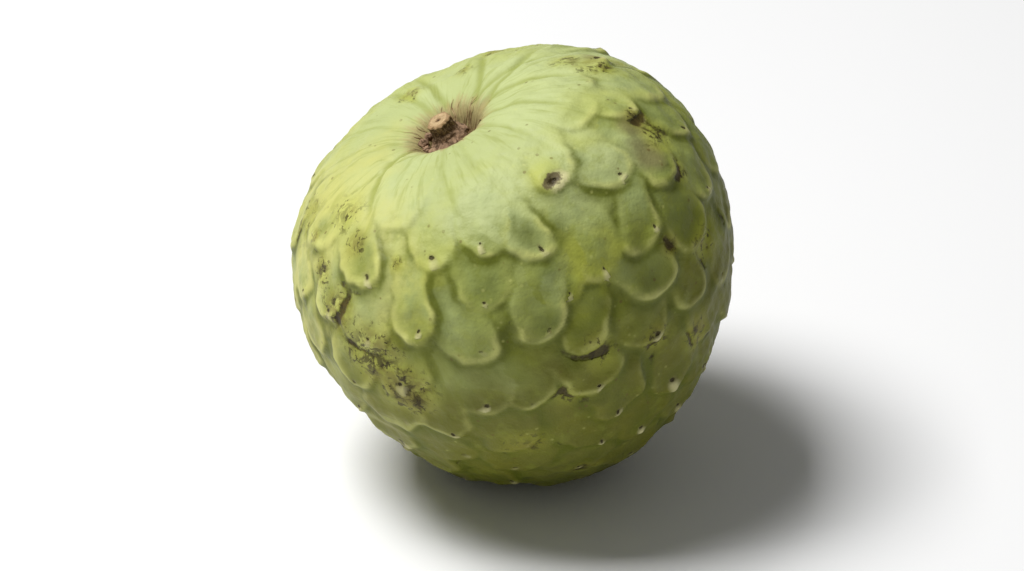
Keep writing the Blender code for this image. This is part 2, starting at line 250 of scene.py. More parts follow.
def outward(towards):
    """The body's outward normal: the cross product of two short steps across the surface."""
    aside = np.where(np.abs(towards[:, 2:]) > 0.9, (1.0, 0.0, 0.0), (0.0, 0.0, 1.0))
    first = unit(np.cross(towards, aside))
    steps = [
        smooth_body(unit(towards + NORMAL_STEP * way)) - smooth_body(unit(towards - NORMAL_STEP * way))
        for way in (first, np.cross(towards, first))
    ]
    return unit(np.cross(*steps))


print("the turned outline is", round(np.ptp(OUTLINE[:, 1]) / MM), "mm tall")

# %% [markdown]
# ## Where the scales lie
#
# Each scale is the end of one small fruitlet, and fruitlets grow in spirals. Turning each new one by
# the golden angle, as a sunflower does, gives that order for free. The scales that face the camera
# are then moved onto the places that they have on this fruit, and the rest push each other apart
# until none is crowded. Placing all of them by hand would look no better and could not be followed.

# %% Tips of the scales
SEED = 11
SCALE_COUNT = 142
SCALE_GAP = 14.2 * MM
FIRST_RING = radians(47)
FIRST_RING_LIMIT = radians(42.3)
LAST_RING = radians(170)
GOLDEN = radians(137.50776)
SPREAD_ROUNDS = 60
SPREAD_SHARE = 0.25
SEEN_TIPS = (
    (51.0, 305.6), (59.8, 322.7), (71.1, 336.6), (63.2, 290.2), (77.6, 317.7), (76.7, 303.5),
    (44.5, 339.3), (69.9, 356.4), (54.6, 348.5), (47.0, 18.0), (55.5, 259.5), (56.4, 275.5),
    (82.1, 280.5), (82.5, 265.0), (73.1, 250.0), (87.5, 239.5), (98.8, 257.5), (100.6, 272.5),
    (92.0, 291.5), (100.6, 306.0), (120.0, 291.2), (131.0, 279.0), (118.5, 258.5), (41.5, 243.0),
    (57.7, 234.5), (74.0, 232.2), (52.0, 205.0),
)


def scale_tips():
    """Directions of the tips: equal steps of height, each turned by the golden angle, then spread.

    In each round, two tips nearer than the gap move apart by a share of what they lack.
    """
    height = np.linspace(cos(FIRST_RING), cos(LAST_RING), SCALE_COUNT)
    tips = direction(np.arccos(height), GOLDEN * np.arange(SCALE_COUNT))
    held = np.zeros(SCALE_COUNT, bool)
    for polar, azimuth in SEEN_TIPS:
        seen = direction(radians(polar), np.array(radians(azimuth)))
        nearest = np.argmax(np.where(held, -1, tips @ seen))
        tips[nearest], held[nearest] = seen, True
    for _ in range(SPREAD_ROUNDS):
        points = smooth_body(tips)
        apart = points[:, None] - points[None]
        gap = np.linalg.norm(apart, axis=-1) + np.eye(SCALE_COUNT)
        push = np.clip(SCALE_GAP - gap, 0, None) * (1 - np.eye(SCALE_COUNT))
        move = (apart / gap[..., None] * push[..., None]).sum(1) * SPREAD_SHARE
        tips = np.where(held[:, None], tips, unit(points + move))
        low = np.minimum(tips[:, 2], cos(FIRST_RING_LIMIT))
        tips = unit(np.column_stack([tips[:, :2], low]))
    return tips


TIPS = scale_tips()
print(len(TIPS), "scales")

# %% [markdown]
# ## What makes one scale
#
# A scale is a U like a thumb's print in clay: a raised lip round its lower end, a hollow inside the
# lip, and a step down to the scales below. No two are alike on the fruit, so each draws its width,
# lift, softness and bend from a range. Drawing them all at once keeps them in arrays and seeded.
#
# Just inside its tip each scale has a dark dot, the scar of its flower part, with a raised nub below
# it, painted cream as a highlight. Dots and nubs have their own draw, so that changing them leaves the
# scales as they are.

# %% Draw the scales' sizes
SCALE_HALF = (5.8 * MM, 7.6 * MM)
SCALE_LENGTH = 20.0 * MM
SCALE_LIFT = (0.6 * MM, 1.45 * MM)
SCALE_POINT = (0.85, 1.3)
SCALE_HOLLOW = (0.15, 0.6)
SCALE_EDGE = (0.5 * MM, 1.3 * MM)
SCALE_TURN = radians(8)
SCALE_BEND = 14.0
SCALE_REACH = radians(50)
SCALE_FAN = (0.75, 2.2)
LIP_WIDTH = 2.8 * MM
TIP_STEP = 0.02
DOT_INSET = (1.9 * MM, 3.2 * MM)
DOT_RADIUS = (0.32 * MM, 0.62 * MM)
DOT_SWAY = 0.9 * MM


def scale_frames(draw):
    """Each tip's place, and unit vectors down the fruit and across it, turned by a small angle."""
    centres = smooth_body(TIPS)
    south = unit(smooth_body(unit(TIPS - np.array((0, 0, TIP_STEP)))) - centres)
    east = unit(np.cross(south, TIPS))
    turn = draw.normal(0, SCALE_TURN, SCALE_COUNT)[:, None]
    return (centres, south * np.cos(turn) + east * np.sin(turn),
            east * np.cos(turn) - south * np.sin(turn))


scale_draw = np.random.default_rng(SEED)
CENTRES, SOUTH, EAST = scale_frames(scale_draw)
HALVES, LIFTS, ENDS, SOFTS, HOLLOWS = (
    scale_draw.uniform(*limits, SCALE_COUNT)
    for limits in (SCALE_HALF, SCALE_LIFT, SCALE_POINT, SCALE_EDGE, SCALE_HOLLOW)
)
BENDS = scale_draw.normal(0, SCALE_BEND, SCALE_COUNT)
dot_draw = np.random.default_rng(SEED + 9)
DOTS = np.column_stack([dot_draw.normal(0, DOT_SWAY, SCALE_COUNT),
                        -dot_draw.uniform(*DOT_INSET, SCALE_COUNT)])
DOT_SIZES = dot_draw.uniform(*DOT_RADIUS, SCALE_COUNT)
TINTS, NUBS = dot_draw.uniform(-1, 1, SCALE_COUNT), dot_draw.uniform(0.1, 1, SCALE_COUNT) ** 1.5
print("scales are", (2 * HALVES.min() / MM).round(1), "to", (2 * HALVES.max() / MM).round(1), "mm wide")

# %% [markdown]
# ## Scales as height, and what their skin remembers
#
# A scale rises along its length like a roof tile, so where two overlap the higher one shows. All of
# it is height added to the smooth body along its normals. The same sums tell the material where it
# is: each point keeps how near it is to a lip, whose pale green is partly a painted highlight, how
# near to the crease under an edge, whose olive is partly painted shade, how far into the painted
# shade that lies below one, how deep inside a scale, the scale's own tint, and where it lies from
# the scale's dot. Painting from these keeps the colour on the relief, which no texture laid over the
# whole fruit could do.
#
# The skin's points lie on a grid, and an edge that crosses a grid askew shows as small steps, like
# a slanting line on a coarse screen. Averaging each point with its neighbours softens them.

# %% Work out the scales
SKIN_SIDES, SKIN_RINGS = 460, 216
WAVERS = ((0.95 * MM, 14 * MM), (0.42 * MM, 5 * MM))
SWELL_SHARE, SWELL_LENGTH = 0.42, 13 * MM
SWELL_LIMITS = (0.25, 1.5)
SHOULDER_SHARE = 0.1
SHOULDER_FADE = (radians(30), radians(60))
PIT_FADE = (radians(12), radians(20))
NUB_STEP, NUB_WIDTH, NUB_LIFT = 2.6, 2.2, 0.45 * MM
DOT_DEPTH = 0.35 * MM
CREASE_PLACE, CREASE_SPREAD = -0.6 * MM, 0.7 * MM
PAINTED_SHADE_WIDTH = 3.2 * MM
EDGE_STANDS = 0.45 * MM
LIP_PLACE, LIP_SPREAD, LIP_SIDES = 0.7 * MM, 1.1 * MM, 0.25
LIP_FADE = (-13 * MM, -4 * MM)
OVERLAP_SOFTNESS = 0.25 * MM
DEEP_INSIDE = 5 * MM
DOT_RANGE, NO_DOT = 4.5, 9.0


def one_scale(number, moved, towards, girth):
    """One scale's near points, how far inside its edge they are, its height, its lip and their place.

    Inside a U is half its width less the distance to its bent middle line, or to its end's centre.
    The edge is a soft step there, the hollow a bell curve further in, and the rise falls evenly
    from 1 at the tip to 0 at the far end. The three are multiplied.
    """
    near = np.flatnonzero(towards @ TIPS[number] > cos(SCALE_REACH))
    offset = moved[near] - CENTRES[number]
    along_it = offset @ SOUTH[number]
    fan = np.clip(np.hypot(*CENTRES[number, :2]) / girth[near], *SCALE_FAN)
    over_it = offset @ EAST[number] + BENDS[number] * along_it**2
    over_it = over_it * np.where(along_it < 0, fan, 1)
    past = np.maximum(along_it / ENDS[number] + HALVES[number], 0)
    inside = HALVES[number] - np.hypot(over_it, past)
    rise = LIFTS[number] * np.clip(1 + along_it / SCALE_LENGTH, 0, 1)
    hollow = HOLLOWS[number] * (1 - bell(np.maximum(inside, 0), LIP_WIDTH))
    tile = ease(-SOFTS[number], SOFTS[number], inside) * rise * (1 - hollow)
    tip = LIP_SIDES + (1 - LIP_SIDES) * ease(*LIP_FADE, along_it)
    lip = bell(inside - LIP_PLACE, LIP_SPREAD) * np.clip(rise / MM, 0, 1) * tip
    place = (np.column_stack([over_it, along_it]) - DOTS[number]) / DOT_SIZES[number]
    return near, inside, rise, tile, lip, place


def soften(values):
    """Half of each value and a quarter of those at its two sides, round the rings and then along."""
    grid = values[1:-1].reshape(SKIN_RINGS, SKIN_SIDES)
    grid = grid / 2 + (np.roll(grid, 1, axis=1) + np.roll(grid, -1, axis=1)) / 4
    grid[1:-1] = grid[1:-1] / 2 + (grid[:-2] + grid[2:]) / 4
    return np.concatenate([values[:1], grid.ravel(), values[-1:]])


def scale_fields(points, towards):
    """The height of the scales over each point, and a dictionary of marks for the material.

    First the highest tile over each point is kept, with its depth inside, its tint and its dot. Then
    each scale's edge is marked where it stands above what lies there: the crease, whose olive is partly
    painted shade, and the painted shade are bell curves of the distance outside the edge, and the lip,
    whose pale green is partly a painted highlight, is one of the distance inside it.
    """
    moved = points + sum(waves(points, *waver, SEED + 3 * number)
                         for number, waver in enumerate(WAVERS))
    girth = np.hypot(points[:, 0], points[:, 1]) + NORMAL_STEP * MM
    height, within, tint, nub = np.zeros((4, len(points)))
    dot = np.full((len(points), 2), NO_DOT)
    edges = []
    for number in range(SCALE_COUNT):
        near, inside, rise, tile, edge, place = one_scale(number, moved, towards, girth)
        wins = tile > height[near]
        at = near[wins]
        height[at], within[at], dot[at] = tile[wins], inside[wins], place[wins]
        tint[at], nub[at] = TINTS[number], NUBS[number]
        edges.append((near, inside, rise, tile, edge))
    lip, crease_olive_and_shade, painted_shade = np.zeros((3, len(points)))
    for near, inside, rise, tile, edge in edges:
        shows = np.clip((rise - height[near]) / EDGE_STANDS, 0, 1)
        crease_olive_and_shade[near] = np.maximum(crease_olive_and_shade[near], shows * bell(inside - CREASE_PLACE, CREASE_SPREAD))
        # painted shade: a broad bell below each edge that stands clear of what lies under it
        painted_shade[near] = np.maximum(painted_shade[near], shows * bell(np.minimum(inside, 0), PAINTED_SHADE_WIDTH))
        own = np.clip(1 - (height[near] - tile) / OVERLAP_SOFTNESS, 0, 1)
        lip[near] = np.maximum(lip[near], own * edge)
    height, lip, crease_olive_and_shade, painted_shade = (soften(values) for values in (height, lip, crease_olive_and_shade, painted_shade))
    swell = np.clip(1 + waves(points, SWELL_SHARE, SWELL_LENGTH, SEED + 8)[:, 0], *SWELL_LIMITS)
    polar = polar_of(towards)
    shoulder = SHOULDER_SHARE + (1 - SHOULDER_SHARE) * ease(*SHOULDER_FADE, polar)
    fade = swell * shoulder * ease(*PIT_FADE, polar)
    bumps = NUB_LIFT * nub * bell(np.hypot(dot[:, 0], dot[:, 1] - NUB_STEP), NUB_WIDTH)
    bumps -= DOT_DEPTH * bell(np.hypot(*dot.T), 1)
    marks = {
        "lip": lip * fade, "crease_olive_and_shade": crease_olive_and_shade * fade, "painted_shade": painted_shade * fade,
        "within": np.clip(within / DEEP_INSIDE, 0, 1) * fade,
        "tint": tint * fade, "nub": nub * fade, "dot": np.column_stack([dot, 0 * tint]),
        "dotted": (np.hypot(*dot.T) < DOT_RANGE) * shoulder,
    }
    return (height + bumps) * fade, marks


# %% [markdown]
# ## Folds, the scar and the flat spot
#
# Towards the stem the scales run out into long soft folds, drawn in at the pit like cloth. They are
# grooves along meridians that turn a little near the pit. One flower part left a scar the size of a
# pea, a wide cup low on a mound. Where the fruit lies, its skin is pressed flat on the table, so the
# relief dies away there and the lowest points are stopped at the table's height.

# %% Folds, the scar and the flat spot as height
SCAR = (radians(48.3), radians(305.6))
SCAR_RADIUS, SCAR_LIFT = 2.6 * MM, 1.5 * MM
MOUND_WIDTH, MOUND_SHIFT = 1.5, 0.45
CUP_WIDTH, CUP_STRETCH, CUP_SHARE = 0.65, 1.3, 0.9
SEEN_FOLDS = ((232, -38, 0.55), (251, -14, 0.20), (269, -8, 0.30), (286, -5, 0.25), (316, 6, 0.35),
              (340, 14, 0.40), (5, 30, 0.45))
HIDDEN_FOLDS, HIDDEN_FROM, HIDDEN_STEP = 8, 30, 24
HIDDEN_SWAY, HIDDEN_TURN, HIDDEN_DEPTH = 7, 30, (0.2, 0.5)
FOLD_START = (radians(10), radians(15))
FOLD_END = (radians(30), radians(50))
FOLD_WIDTH = 1.3 * MM
FOLD_SWELL, FOLD_SWELL_PLACE, FOLD_SWELL_WIDTH = 0.5, 2.2, 2.0
FOLD_SHADE_MARK = 1.8
FLAT_FADE = (11.0 * MM, 19.0 * MM)


def fold_fields(points, towards):
    """The height of the folds, and how near each point is to the bottom of one, where shade is painted.

    Across a fold, a narrow bell curve goes down and a wider, lower one on its far side goes up.
    """
    rng = np.random.default_rng(SEED + 2)
    folds = list(SEEN_FOLDS)
    for place_in_row in range(HIDDEN_FOLDS):
        azimuth = HIDDEN_FROM + HIDDEN_STEP * place_in_row + rng.uniform(-HIDDEN_SWAY, HIDDEN_SWAY)
        folds.append((azimuth, rng.uniform(-HIDDEN_TURN, HIDDEN_TURN), rng.uniform(*HIDDEN_DEPTH)))
    polar = polar_of(towards)
    girth = np.hypot(points[:, 0], points[:, 1])
    out = ease(FOLD_START[0], FOLD_END[1], polar)
    height, groove_shade = np.zeros((2, len(points)))
    for far, turn, depth in folds:
        away = azimuth_of(towards) - radians(far + turn) + radians(turn) * np.sqrt(out)
        across = (np.mod(away + pi, 2 * pi) - pi) * girth / FOLD_WIDTH
        swell = FOLD_SWELL * bell(across - FOLD_SWELL_PLACE, FOLD_SWELL_WIDTH)
        height += depth * MM * (swell - bell(across, 1))
        groove_shade = np.maximum(groove_shade, FOLD_SHADE_MARK * depth * bell(across, 1))
    fade = ease(*FOLD_START, polar) * (1 - ease(*FOLD_END, polar))
    return height * fade, groove_shade * fade


def scar_fields(points):
    """The height of the scar, and each point's place in it: round the fruit, down it and out of it.

    The place is counted from the cup in shares of the scar's radius. The height is a wide bell curve
    whose middle lies a little up the fruit, less a narrow one that is stretched round the fruit.
    """
    polar, azimuth = SCAR[0], np.array(SCAR[1])
    out, down = direction(polar, azimuth), direction(polar + pi / 2, azimuth)
    centre = smooth_body(out[None])[0]
    place = (points - centre) @ np.column_stack([np.cross(out, down), down, out]) / SCAR_RADIUS
    mound = bell(np.linalg.norm(place + (0, MOUND_SHIFT, 0), axis=1), MOUND_WIDTH)
    cup = bell(np.linalg.norm(place * (1 / CUP_STRETCH, CUP_STRETCH, 1), axis=1), CUP_WIDTH)
    return SCAR_LIFT * (mound - CUP_SHARE * cup), place


def flat_calm(points):
    """0 where the fruit lies and 1 away from there, by the distance from its lowest point."""
    placed = lie(points)
    lowest = placed[placed[:, 2].argmin()]
    away = np.hypot(placed[:, 0] - lowest[0], placed[:, 1] - lowest[1])
    return np.maximum(ease(*FLAT_FADE, away), placed[:, 2] > MIDDLE[2])


# %% [markdown]
# ## The skin as one mesh
#
# The skin is one closed grid: rings round the axis, evenly spaced along the outline, from the floor
# of the pit to the apex. At 0.7 mm between points it holds every lip and hollow as real shape, and it
# stays just under 200,000 triangles. A wobble of some tenths of a millimetre keeps the hollows from
# looking pressed by a machine. The marks go with the skin as attributes of its points.

# %% Build the skin's shape
FINE_LUMPS, BROAD_LUMPS = (0.08 * MM, 3.2 * MM), (0.24 * MM, 8 * MM)


def skin_shape():
    """Points of the skin, their directions, and the marks that its material reads."""
    share = np.arange(1, SKIN_RINGS + 1) / (SKIN_RINGS + 1)
    polar = np.interp(share, along(FRUIT_CURVE), CURVE_ANGLE)
    azimuth = 2 * pi * np.arange(SKIN_SIDES) / SKIN_SIDES
    grid = direction(polar[:, None], azimuth[None]).reshape(-1, 3)
    towards = np.vstack([[0, 0, 1], grid, [0, 0, -1]])
    body = smooth_body(towards)
    height, marks = scale_fields(body, towards)
    folds, marks["fold_shade"] = fold_fields(body, towards)
    scar, marks["scar"] = scar_fields(body)
    fine = waves(body, *FINE_LUMPS, SEED + 4, 9)[:, 0] + waves(body, *BROAD_LUMPS, SEED + 5)[:, 1]
    relief = (height + fine * ease(*PIT_FADE, polar_of(towards))) * flat_calm(body) + folds + scar
    placed = lie(body + outward(towards) * relief[:, None])
    placed[:, 2] = np.maximum(placed[:, 2], 0)
    marks["polar"] = polar_of(towards)
    turn = azimuth_of(towards - np.array(PIT_SHIFT))
    marks["streak"] = np.column_stack([np.cos(turn), np.sin(turn), marks["polar"]])
    return placed, towards, marks


skin_points, skin_towards, skin_marks = skin_shape()
skin_mesh = closed_mesh("custard_apple_skin", skin_points[None], SKIN_RINGS, SKIN_SIDES)
print("skin spans", (np.ptp(skin_points, axis=0) / MM).round(1), "mm")

# %% [markdown]
# ## Stains and russet
#
# Ripe fruit carries brown cork where it rubbed on leaves and neighbours. Such stains have places, so
# a short list gives the ones that face the camera, by angle from the stem end, angle round the axis,
# radius and strength, and a seeded draw spreads a few more over the hidden side. They are soft blots
# here, and the material breaks them up into flecks along the creases. The side towards the key light
# is painted yellower and lighter, as a sunny side and as painted light, and the far side a deeper
# green, as a leafy side and as painted shade, and the cosine of the angle from the lit side's middle
# says how much.

# %% Keep the marks with the skin
RUSSET = (
    (75, 233, 8, 1.0), (85, 239, 7, 1.0), (64, 223, 6, 0.8), (49.5, 203.5, 2.4, 0.9),
    (29, 117, 3, 0.9), (28, 81, 2.5, 0.6), (38, 23, 4, 0.7), (43, 15, 5, 0.7), (92, 291, 5, 0.6),
    (88, 333, 5, 0.7), (114, 260, 6, 0.6), (147, 266, 4, 0.8), (40, 215, 6, 0.6), (101, 279, 4, 0.5),
    (54, 346, 3, 0.8), (61, 344, 4, 0.9), (70, 340, 3, 0.8), (80, 322, 3, 0.7), (47, 228, 4, 0.7),
    (56, 214, 4, 0.7), (100, 308, 4, 0.7), (110, 322, 5, 0.7), (52, 246, 2, 0.6),
)
BRUISES = ((60, 337, 7, 1.0), (55, 342, 6, 0.9), (70, 230, 9, 0.5), (92, 268, 10, 0.4),
           (110, 290, 12, 0.5))
HIDDEN_STAINS, HIDDEN_LIMITS = 14, ((40, 140), (20, 190), (3, 9), (0.4, 0.9))
SUN_AND_LIT_SIDE = (radians(72), radians(196))


def blots(towards, places, seed):
    """The greatest of bell-shaped blots, each by its distance from its centre over the skin."""
    rng = np.random.default_rng(seed)
    hidden = [[rng.uniform(*limits) for limits in HIDDEN_LIMITS] for _ in range(HIDDEN_STAINS)]
    total = np.zeros(len(towards))
    reach = np.linalg.norm(smooth_body(towards), axis=1)
    for polar, azimuth, radius, strength in list(places) + hidden:
        centre = direction(radians(polar), np.array(radians(azimuth)))
        away = np.arccos(np.clip(towards @ centre, -1, 1)) * reach
        total = np.maximum(total, strength * bell(away, radius * MM))
    return total


skin_marks["russet"] = blots(skin_towards, RUSSET, SEED + 6)
skin_marks["bruise"] = blots(skin_towards, BRUISES, SEED + 7)
sun_and_lit_side = direction(SUN_AND_LIT_SIDE[0], np.array(SUN_AND_LIT_SIDE[1]))
skin_marks["sun_and_light"] = skin_towards @ sun_and_lit_side
for mark_name, mark_values in skin_marks.items():
    store(skin_mesh, mark_name, mark_values)
print("skin keeps", ", ".join(skin_marks))

# %% [markdown]
# ## Small tools for materials
#
# A material is a graph of nodes. Built by hand in the editor it is quick to try and hard to read
# back, so here a class keeps one material and its functions add one node each. It also keeps the
# colour and the normal so far, and `paint` and `bump` each add a layer to them, so a finish becomes a
# page of plain steps on one such object, called `f` below. Every pattern reads the object's own
# coordinates or the attributes above, so it stays on the fruit from every side.

# %% Helpers that add nodes
class Finish:
    """A material under construction, with its colour and normal so far."""

    def __init__(self, name, colour):
        self.material = bpy.data.materials.new(name)
        self.material.use_nodes = True
        self.tree = self.material.node_tree
        self.place = self.node("ShaderNodeTexCoord").outputs["Object"]
        self.colour, self.normal = colour, None

    def feed(self, node, sockets):
        """Gives each socket, by name or number, its value, or joins another node's output to it."""
        for name, value in sockets.items():
            if isinstance(value, bpy.types.NodeSocket):
                self.tree.links.new(value, node.inputs[name])
            else:
                node.inputs[name].default_value = value

    def node(self, kind, sockets=None, **settings):
        """A node of this kind, with these sockets fed and these settings."""
        made = self.tree.nodes.new(kind)
        for key, value in settings.items():
            setattr(made, key, value)
        self.feed(made, sockets or {})
        return made

    def mark(self, name, part="Fac"):
        """What the mesh's points keep under this name: a number, or a vector."""
        return self.node("ShaderNodeAttribute", attribute_name=name).outputs[part]

    def scaled(self, vector, scale, shift=(0, 0, 0)):
        """A vector with each part multiplied and then shifted."""
        sockets = {"Vector": vector, "Scale": scale, "Location": shift}
        return self.node("ShaderNodeMapping", sockets).outputs["Vector"]

    def length(self, vector):
        """A vector's length."""
        return self.node("ShaderNodeVectorMath", {0: vector}, operation="LENGTH").outputs["Value"]

    def noise(self, size, detail=3.0, rough=0.55, vector=None, warp=0.0):
        """Soft noise whose patches are about this size, in metres or in the vector's own units."""
        sockets = {"Vector": vector or self.place, "Scale": 1 / size, "Detail": detail,
                   "Roughness": rough, "Distortion": warp}
        return self.node("ShaderNodeTexNoise", sockets).outputs["Fac"]

    def cells(self, size):
        """The distance to the nearest of many scattered points, about this size apart."""
        sockets = {"Vector": self.place, "Scale": 1 / size}
        return self.node("ShaderNodeTexVoronoi", sockets).outputs["Distance"]

    def sum(self, operation, *values, clamp=False):
        """One step of arithmetic on one to three values."""
        sockets = dict(enumerate(values))
        return self.node("ShaderNodeMath", sockets, operation=operation, use_clamp=clamp).outputs[0]

    def all_of(self, first, *others):
        """Shares multiplied together."""
        for other in others:
            first = self.sum("MULTIPLY", first, other)
        return first

    def frayed(self, value, noise, amount):
        """A value moved up and down by a noise, so that what follows gets a ragged border."""
        return self.sum("ADD", value, self.sum("MULTIPLY_ADD", noise, amount, -amount / 2))

    def step(self, value, low, high):
        """0 below low, 1 above high and a soft rise between. With low above high it falls."""
        sockets = {"Value": value, "From Min": min(low, high), "From Max": max(low, high),
                   "To Min": float(low > high), "To Max": float(low < high)}
        return self.node("ShaderNodeMapRange", sockets, interpolation_type="SMOOTHSTEP").outputs[0]

    def blend(self, share, under, over):
        """The colour under, covered by the colour over in this share."""
        made = self.node("ShaderNodeMix", {"Factor": share}, data_type="RGBA")
        for name, colour in (("A", under), ("B", over)):
            number = next(n for n, socket in enumerate(made.inputs)
                          if socket.name == name and socket.type == "RGBA")
            plain = not isinstance(colour, bpy.types.NodeSocket)
            self.feed(made, {number: (*colour, 1) if plain else colour})
        return next(socket for socket in made.outputs if socket.type == "RGBA")

    def paint(self, over, *shares):
        """Lays a colour over the colour so far, in the product of these shares."""
        self.colour = self.blend(self.all_of(*shares), self.colour, over)

    def bump(self, height, distance):
        """Tilts the normal so far by a height, in units of this distance."""
        sockets = {"Height": height, "Distance": distance}
        if self.normal:
            sockets["Normal"] = self.normal
        self.normal = self.node("ShaderNodeBump", sockets).outputs["Normal"]

    def finish(self, roughness, specular):
        """Joins the graph to the shader. What is the same all over is set on the shader itself."""
        self.feed(self.tree.nodes["Principled BSDF"], {
            "Base Color": self.colour, "Roughness": roughness, "Normal": self.normal,
            "Specular IOR Level": specular,
        })
        return self.material


# %% [markdown]
# ## The skin's finish
#
# The skin is matt and a little waxy. Its green is pale on the shoulder, yellower in broad patches
# and greyer inside the scales, and every lip is paler, partly as a painted highlight. Creases are a
# deep olive that is partly painted shade, and in places they have turned to brown cork, thin as a
# pencil line. Shade is also painted below each edge, in the folds and towards the apex. The side
# towards the key light is painted lighter and yellower, and the far side deeper green, as sunny and
# leafy sides and as painted light and shade. Each scale has a dark dot inside its tip and a nub below
# it whose cream is a painted highlight, and the whole skin is freckled. The pit is brown, with dry
# streaks that fan up its wall.
#
# The finish is painted the way a painter works, from the broad tints up to the freckles: each layer
# is a colour laid over the last through a mask, and noise frays most masks' borders. Many layers
# belong to one height on the fruit. Each of those has a band: the angles from the stem end, in
# radians, where the layer is still bare and where it is full.

# %% Make the skin's finish
SHOULDER_GREEN = (0.500, 0.560, 0.250)
LEAF_GREEN = (0.250, 0.285, 0.035)
GREY_GREEN = (0.320, 0.390, 0.155)
YELLOW_GREEN = (0.450, 0.470, 0.055)
LIP_GREEN = (0.620, 0.630, 0.200)
NUB_CREAM = (0.680, 0.640, 0.330)
OLIVE = (0.105, 0.125, 0.006)
SHADED_LOW_OLIVE = (0.125, 0.122, 0.008)
SUN_AND_LIT_GREEN = (0.600, 0.580, 0.170)
DEEP_AND_SHADED_GREEN = (0.270, 0.300, 0.010)
BRUISE_BROWN = (0.225, 0.200, 0.080)
CORK = (0.140, 0.092, 0.022)
DARK_CORK = (0.040, 0.028, 0.006)
PIT_TAN = (0.420, 0.320, 0.140)
PIT_BROWN = (0.200, 0.120, 0.050)
SCAR_BROWN = (0.130, 0.098, 0.050)
SHOULDER_BAND, YELLOW_BAND, DEEP_AND_SHADED_BAND, GREY_BAND = (1.40, 0.65), (0.2, 1.2), (0.9, 1.4), (1.75, 1.15)
SHADED_LOW_BAND, MOTTLE_BAND, STREAK_BAND, LIP_BAND = (1.15, 1.85), (0.35, 1.0), (1.2, 0.5), (2.3, 1.2)
TAN_BAND, BROWN_BAND, DRY_BAND = (0.30, 0.20), (0.19, 0.14), (0.32, 0.18)
HOOD_PLACE, CORNER_PLACE = (0, 0.9, 0), (-0.6, -0.7, 0)


def broad_tints(f, fine, patches):
    """Green from the leaf's to the shoulder's, with yellow patches, grey hollows, pale lips that are
    partly painted highlights, painted light and shade by side and painted shade towards the apex.
    """
    polar, tint = f.mark("polar"), f.mark("tint")
    pale = f.all_of(f.step(f.noise(30 * MM, 2), 0.42, 0.68), 0.3)
    f.paint(SHOULDER_GREEN, f.sum("ADD", f.all_of(f.step(polar, *SHOULDER_BAND), 0.85), pale, clamp=True))
    yellow = f.noise(24 * MM, 3, vector=f.scaled(f.place, (1, 1.3, 1), (3, 0, 0)))
    f.paint(YELLOW_GREEN, f.step(yellow, 0.44, 0.66), f.step(polar, *YELLOW_BAND), 0.65)
    sun_and_light = f.frayed(f.mark("sun_and_light"), f.noise(10 * MM, 3), 0.6)
    # partly painted light: the side towards the key light painted lighter and yellower; partly a sunny
    # side's own yellow
    f.paint(SUN_AND_LIT_GREEN, f.step(sun_and_light, 0.45, 0.95), 0.8)
    # partly painted shade: the side away from the key light painted deeper green; partly a leafy side's
    # own green
    f.paint(DEEP_AND_SHADED_GREEN, f.step(sun_and_light, -0.3, -0.9), f.step(polar, *DEEP_AND_SHADED_BAND), 0.75)
    f.paint(GREY_GREEN, f.step(f.mark("within"), 0.1, 0.9), f.step(patches, 0.3, 0.65),
            f.step(polar, *GREY_BAND), 0.6)
    f.paint(SHOULDER_GREEN, f.step(tint, 0.1, 1.0), 0.3)
    f.paint(LEAF_GREEN, f.step(tint, -0.1, -1.0), 0.35)
    # painted shade: darker olive towards the apex, where the lower fruit lies in shade
    f.paint(SHADED_LOW_OLIVE, f.step(f.frayed(polar, f.noise(12 * MM, 3), 0.9), *SHADED_LOW_BAND), 0.85)
    mottle = f.noise(4.5 * MM, 4, 0.65, warp=0.3)
    f.paint(LEAF_GREEN, f.step(mottle, 0.50, 0.70), f.step(polar, *MOTTLE_BAND), 0.4)
    streaks = f.noise(0.06, 2, vector=f.scaled(f.mark("streak", "Vector"), (1, 1, 0.3)))
    f.paint(LEAF_GREEN, f.step(streaks, 0.5, 0.75), f.step(polar, *STREAK_BAND), 0.4)
    worn = f.step(f.frayed(patches, f.noise(11 * MM, 2), 0.6), 0.32, 0.6)
    # partly a painted highlight: pale green along each lip, fullest towards the stem end, where the
    # raised lips catch the light; partly the lips' own paler green
    lip = f.step(f.frayed(f.mark("lip"), fine, 0.3), 0.1, 0.95)
    f.paint(LIP_GREEN, lip, worn, f.step(polar, *LIP_BAND))


